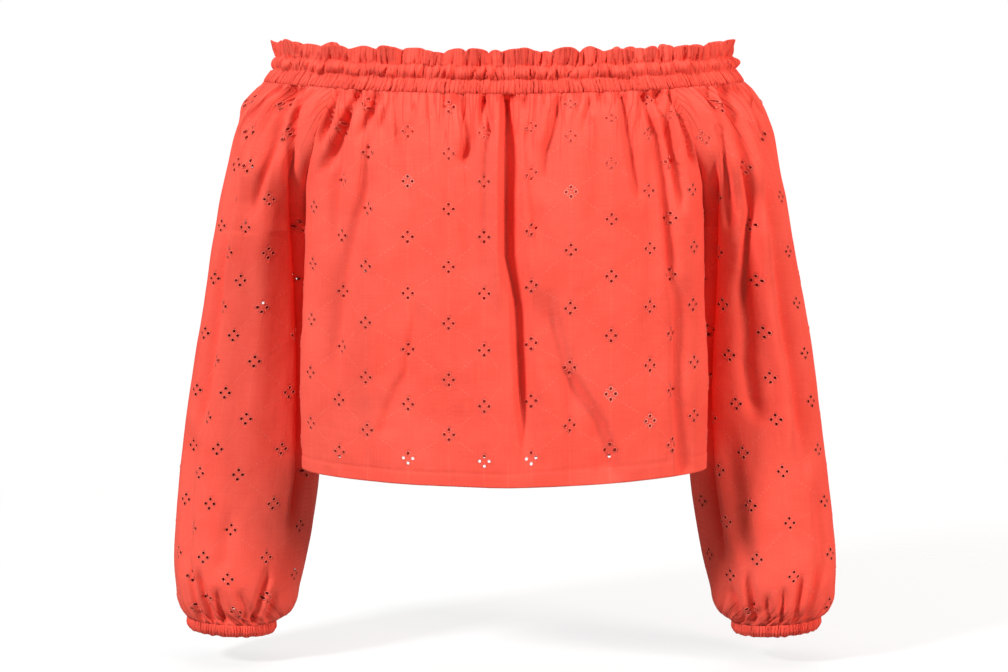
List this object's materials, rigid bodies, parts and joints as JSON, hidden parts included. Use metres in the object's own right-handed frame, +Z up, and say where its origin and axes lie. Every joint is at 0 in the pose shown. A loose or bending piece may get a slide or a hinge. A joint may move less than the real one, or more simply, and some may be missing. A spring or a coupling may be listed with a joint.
{
  "type": "off-shoulder blouse",
  "caption": "Cropped off-shoulder blouse of eyelet cotton with a ruffled elastic neckline and long balloon sleeves gathered into elastic cuffs, filled out as if worn.",
  "frame": {"origin": "the middle of the neck opening, level with the upper edge of the neck elastic at centre front, where the wearer's upper arms and chest hold the blouse up", "axes": "+X towards the wearer's left sleeve, -Y the way the wearer faces, +Z up"},
  "size_m": [0.608, 0.2157, 0.5401],
  "materials": {
    "eyelet_cotton": "matt plain-woven cotton with small embroidered eyelets",
    "gathered_band": "matt plain-woven cotton gathered on elastic"
  },
  "bodies": {
    "root": {"front": "eyelet_cotton", "back": "eyelet_cotton", "sleeve_left": "eyelet_cotton", "sleeve_right": "eyelet_cotton", "neck_band": "gathered_band", "cuff_left": "gathered_band", "cuff_right": "gathered_band"}
  },
  "joints": []
}
